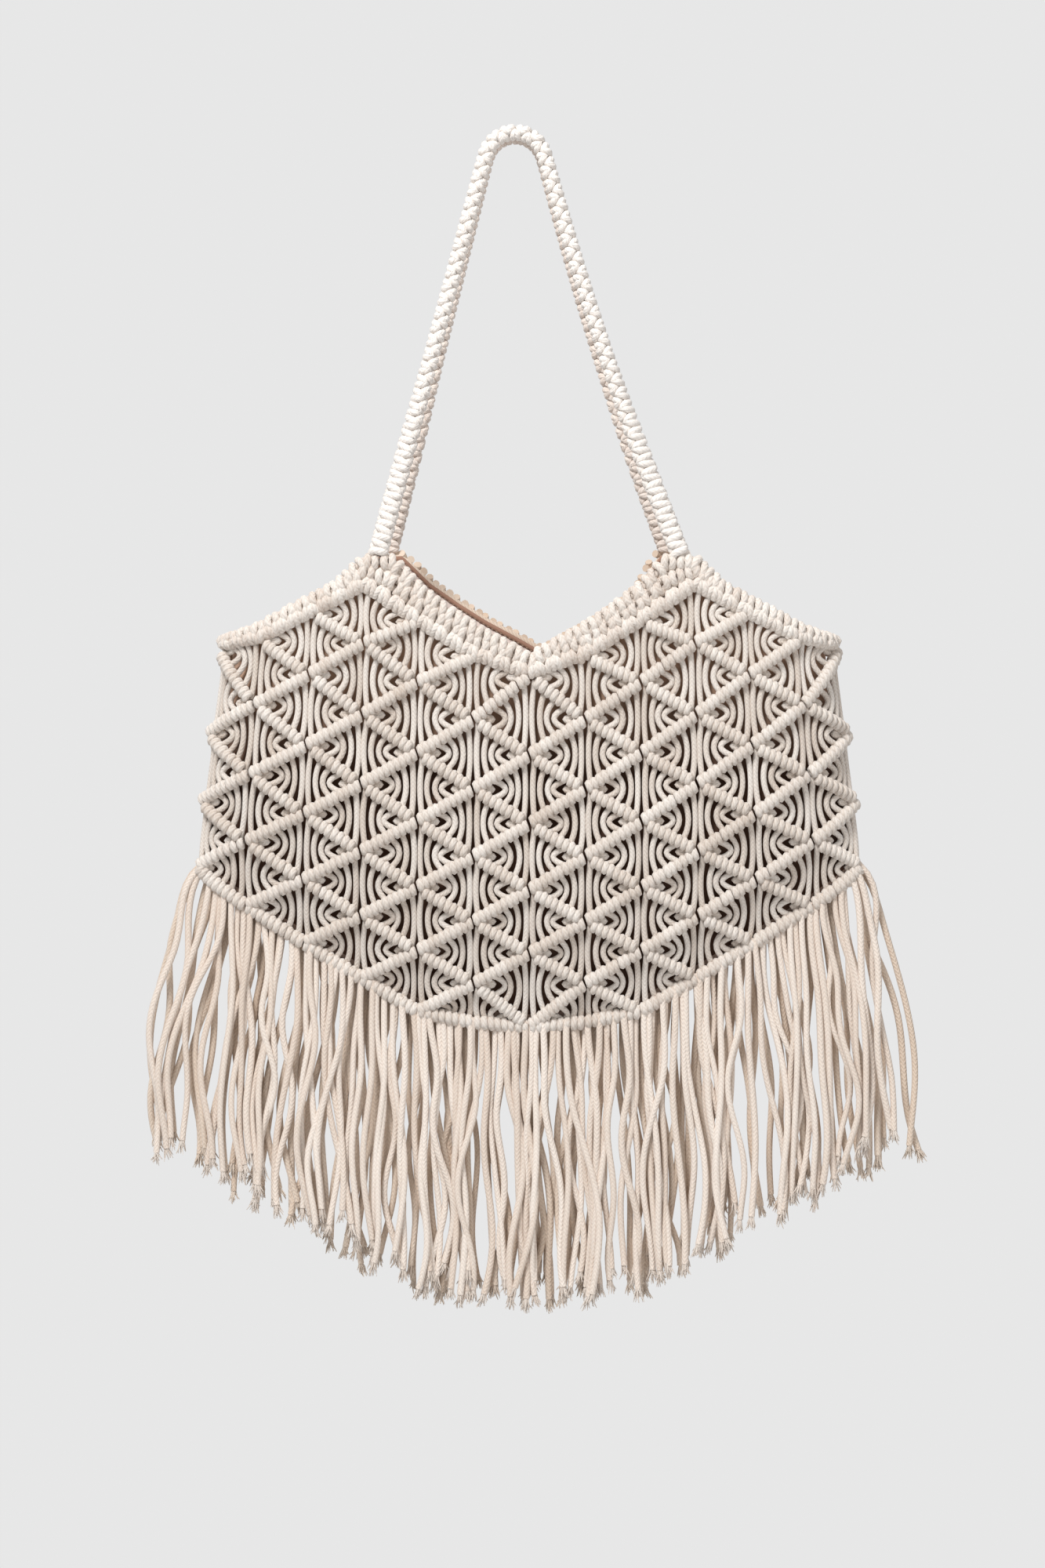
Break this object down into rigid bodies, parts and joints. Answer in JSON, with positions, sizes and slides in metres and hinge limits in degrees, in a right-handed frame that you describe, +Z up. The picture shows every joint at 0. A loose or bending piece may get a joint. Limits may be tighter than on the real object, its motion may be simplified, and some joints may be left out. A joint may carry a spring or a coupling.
{
  "type": "macrame handbag",
  "caption": "Knotted cotton cord shoulder bag with diamond nets, a cloth lining, a V-shaped mouth between raised peaks, long strap handles and a deep fringe along its rounded bottom.",
  "frame": {"origin": "the hanging point, at the underside of the two handles where they lie side by side over a hook", "axes": "+Z up, -Y out of the front face, +X to the right as seen from the front"},
  "size_m": [0.4532, 0.0688, 0.7207],
  "materials": {
    "cotton_cord": "matte braided natural cotton",
    "lining_cloth": "matte plain woven cotton"
  },
  "bodies": {
    "root": {"front_net": "cotton_cord", "back_net": "cotton_cord", "front_rim_band": "cotton_cord", "back_rim_band": "cotton_cord", "front_handle": "cotton_cord", "back_handle": "cotton_cord", "fringe_front_left": "cotton_cord", "fringe_front_right": "cotton_cord", "fringe_back_left": "cotton_cord", "fringe_back_right": "cotton_cord", "lining": "lining_cloth"}
  },
  "joints": []
}
